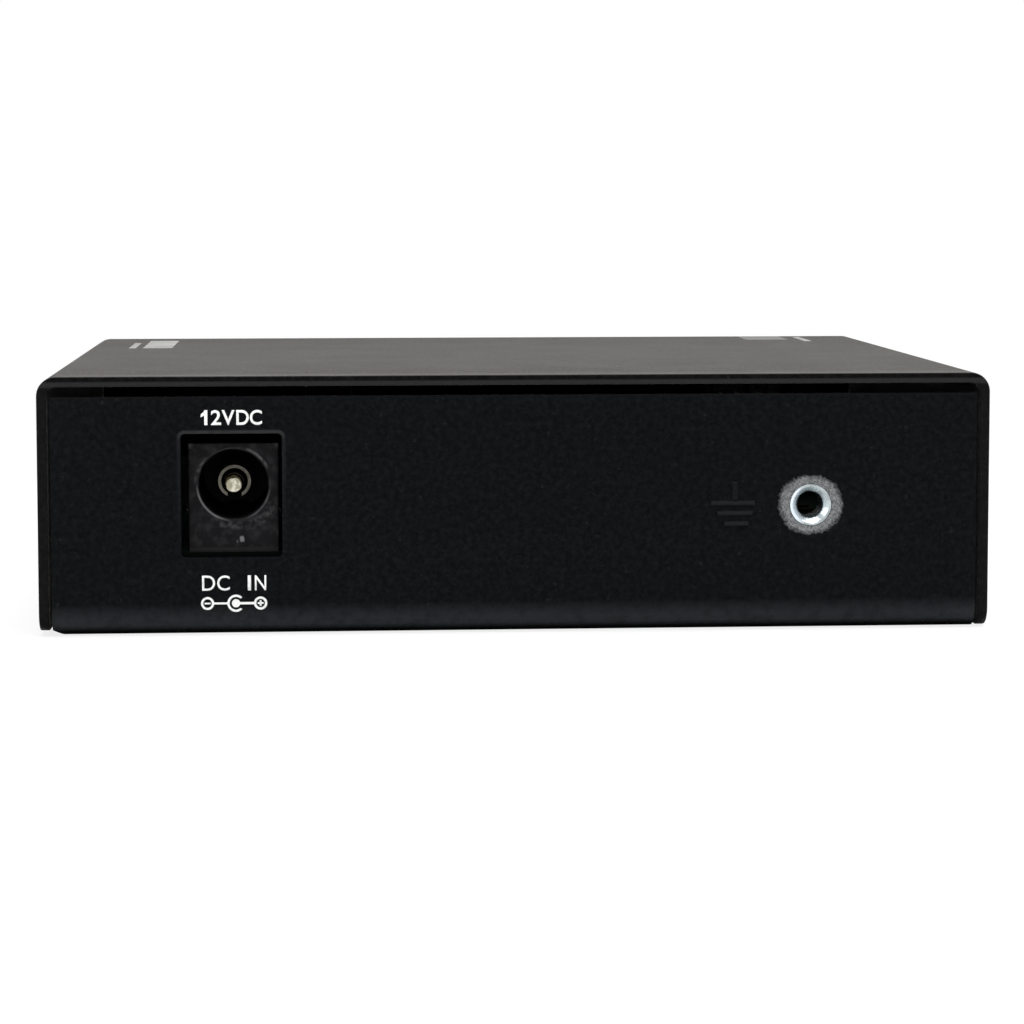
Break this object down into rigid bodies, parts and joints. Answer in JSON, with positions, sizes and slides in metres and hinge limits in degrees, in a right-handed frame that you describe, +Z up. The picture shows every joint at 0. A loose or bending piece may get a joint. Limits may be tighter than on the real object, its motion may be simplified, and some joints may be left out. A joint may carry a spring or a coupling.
{
  "type": "fibre media converter",
  "caption": "Small desktop fibre-to-copper converter in a folded black steel case, with a DC inlet and grounding nut behind and ports in front.",
  "frame": {"origin": "middle of the case's underside, on the surface it stands on", "axes": "+Z up, +X along the long side, -Y the power side with the DC inlet, +Y the port side"},
  "size_m": [0.095, 0.073, 0.0258],
  "materials": {
    "black_steel": "matte black powder coat, fine grain",
    "black_screw": "black oxide",
    "zinc_steel": "zinc plated",
    "nickel_brass": "nickel plated, polished",
    "gold_contact": "gold plated",
    "jack_plastic": "moulded, satin",
    "black_plastic": "moulded",
    "pale_plastic": "moulded",
    "switch_blue": "moulded",
    "lamp_lens": "clear tinted",
    "board_green": "solder mask",
    "chip_black": "moulded",
    "white_ceramic": "ground ceramic",
    "can_aluminium": "drawn can"
  },
  "bodies": {
    "case": {"base_tray": "black_steel", "board_screws": "zinc_steel", "board_standoffs": "zinc_steel", "capacitor_base": "black_plastic", "case_screws": "black_screw", "chip_components": "pale_plastic", "controller_chip": "chip_black", "controller_leads": "zinc_steel", "copper_port_contacts": "gold_contact", "copper_port_housing": "black_plastic", "copper_port_shell": "zinc_steel", "crystal": "zinc_steel", "dc_jack_collar": "nickel_brass", "dc_jack_housing": "jack_plastic", "dc_jack_lug": "nickel_brass", "dc_jack_pin": "nickel_brass", "dc_jack_spring": "nickel_brass", "dc_jack_tail": "nickel_brass", "fibre_barrels": "zinc_steel", "fibre_latches": "pale_plastic", "fibre_port_housing": "black_plastic", "fibre_port_pins": "gold_contact", "fibre_sleeves": "white_ceramic", "filter_capacitor": "can_aluminium", "ground_nut": "zinc_steel", "lamp_holder": "black_plastic", "lamp_leads": "zinc_steel", "lamp_lenses": "lamp_lens", "line_transformer": "chip_black", "line_transformer_leads": "zinc_steel", "main_board": "board_green", "power_inductor": "chip_black", "switch_base": "black_plastic", "switch_cover": "switch_blue", "switch_terminals": "zinc_steel", "top_cover": "black_steel", "voltage_regulator": "chip_black"},
    "lever_1": {"switch_lever_1": "pale_plastic"},
    "lever_2": {"switch_lever_2": "pale_plastic"},
    "lever_3": {"switch_lever_3": "pale_plastic"},
    "lever_4": {"switch_lever_4": "pale_plastic"}
  },
  "joints": [
    {"name": "lever_1_slide", "type": "slide", "parent": "case", "child": "lever_1", "axis": [0, 0, 1], "range_m": [0, 0.0014]},
    {"name": "lever_2_slide", "type": "slide", "parent": "case", "child": "lever_2", "axis": [0, 0, 1], "range_m": [0, 0.0014]},
    {"name": "lever_3_slide", "type": "slide", "parent": "case", "child": "lever_3", "axis": [0, 0, 1], "range_m": [0, 0.0014]},
    {"name": "lever_4_slide", "type": "slide", "parent": "case", "child": "lever_4", "axis": [0, 0, 1], "range_m": [0, 0.0014]}
  ]
}
